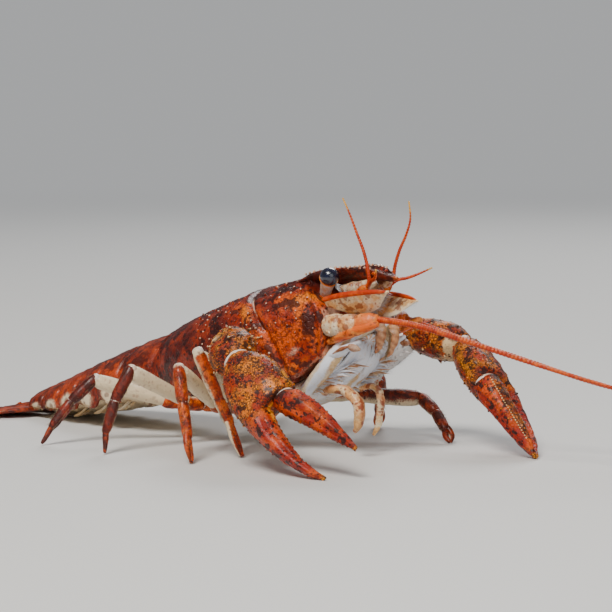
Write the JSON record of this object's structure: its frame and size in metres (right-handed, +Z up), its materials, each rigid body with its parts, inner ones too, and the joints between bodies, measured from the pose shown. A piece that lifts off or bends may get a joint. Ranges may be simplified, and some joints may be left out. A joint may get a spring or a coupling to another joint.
{
  "type": "narrow-clawed crayfish",
  "caption": "Life-size still model of a narrow-clawed crayfish standing on its legs, with long slim claws reaching forward to the floor and the tail laid down behind.",
  "frame": {"origin": "centre of the bottom of the whole animal's box, on the floor that it stands on", "axes": "+X towards the tips of the claws and feelers, +Y to the animal's left, +Z up"},
  "size_m": [0.161, 0.0778, 0.0417],
  "materials": {
    "shell": "wet horny shell, orange-brown with dense dark mottling",
    "tail": "wet horny shell, dark red-brown with pale side plates",
    "claw": "wet horny shell, orange-brown with a fine dark network",
    "leg": "wet horny shell, orange and dark mottling over cream",
    "underside": "cream shell and membrane",
    "feeler": "orange ringed feelers with cream bases",
    "eye": "glossy navy black"
  },
  "bodies": {
    "root": {"carapace_front": "shell", "carapace_rear": "shell", "beak": "shell", "thorax_underside": "underside", "mouthparts": "underside", "tail_segment_1": "tail", "tail_segment_2": "tail", "tail_segment_3": "tail", "tail_segment_4": "tail", "tail_segment_5": "tail", "tail_segment_6": "tail", "tail_middle_plate": "tail", "tail_fin_left": "tail", "tail_fin_right": "tail", "eye_left": "eye", "eye_right": "eye", "eyestalk_left": "underside", "eyestalk_right": "underside", "short_feeler_left": "feeler", "short_feeler_right": "feeler", "feeler_base_left": "feeler", "feeler_base_right": "feeler", "feeler_scale_left": "feeler", "feeler_scale_right": "feeler", "feeler_left_1": "feeler", "feeler_left_2": "feeler", "feeler_left_3": "feeler", "feeler_right_1": "feeler", "feeler_right_2": "feeler", "feeler_right_3": "feeler", "leg_jaw_left": "leg", "leg_jaw_right": "leg", "arm_left_upper": "claw", "arm_left_wrist": "claw", "arm_left_hand": "claw", "arm_left_finger": "claw", "arm_right_upper": "claw", "arm_right_wrist": "claw", "arm_right_hand": "claw", "arm_right_finger": "claw", "leg_left_2_upper": "leg", "leg_left_2_lower": "leg", "leg_left_3_upper": "leg", "leg_left_3_lower": "leg", "leg_left_4_upper": "leg", "leg_left_4_lower": "leg", "leg_left_5_upper": "leg", "leg_left_5_lower": "leg", "leg_right_2_upper": "leg", "leg_right_2_lower": "leg", "leg_right_3_upper": "leg", "leg_right_3_lower": "leg", "leg_right_4_upper": "leg", "leg_right_4_lower": "leg", "leg_right_5_upper": "leg", "leg_right_5_lower": "leg"}
  },
  "joints": []
}
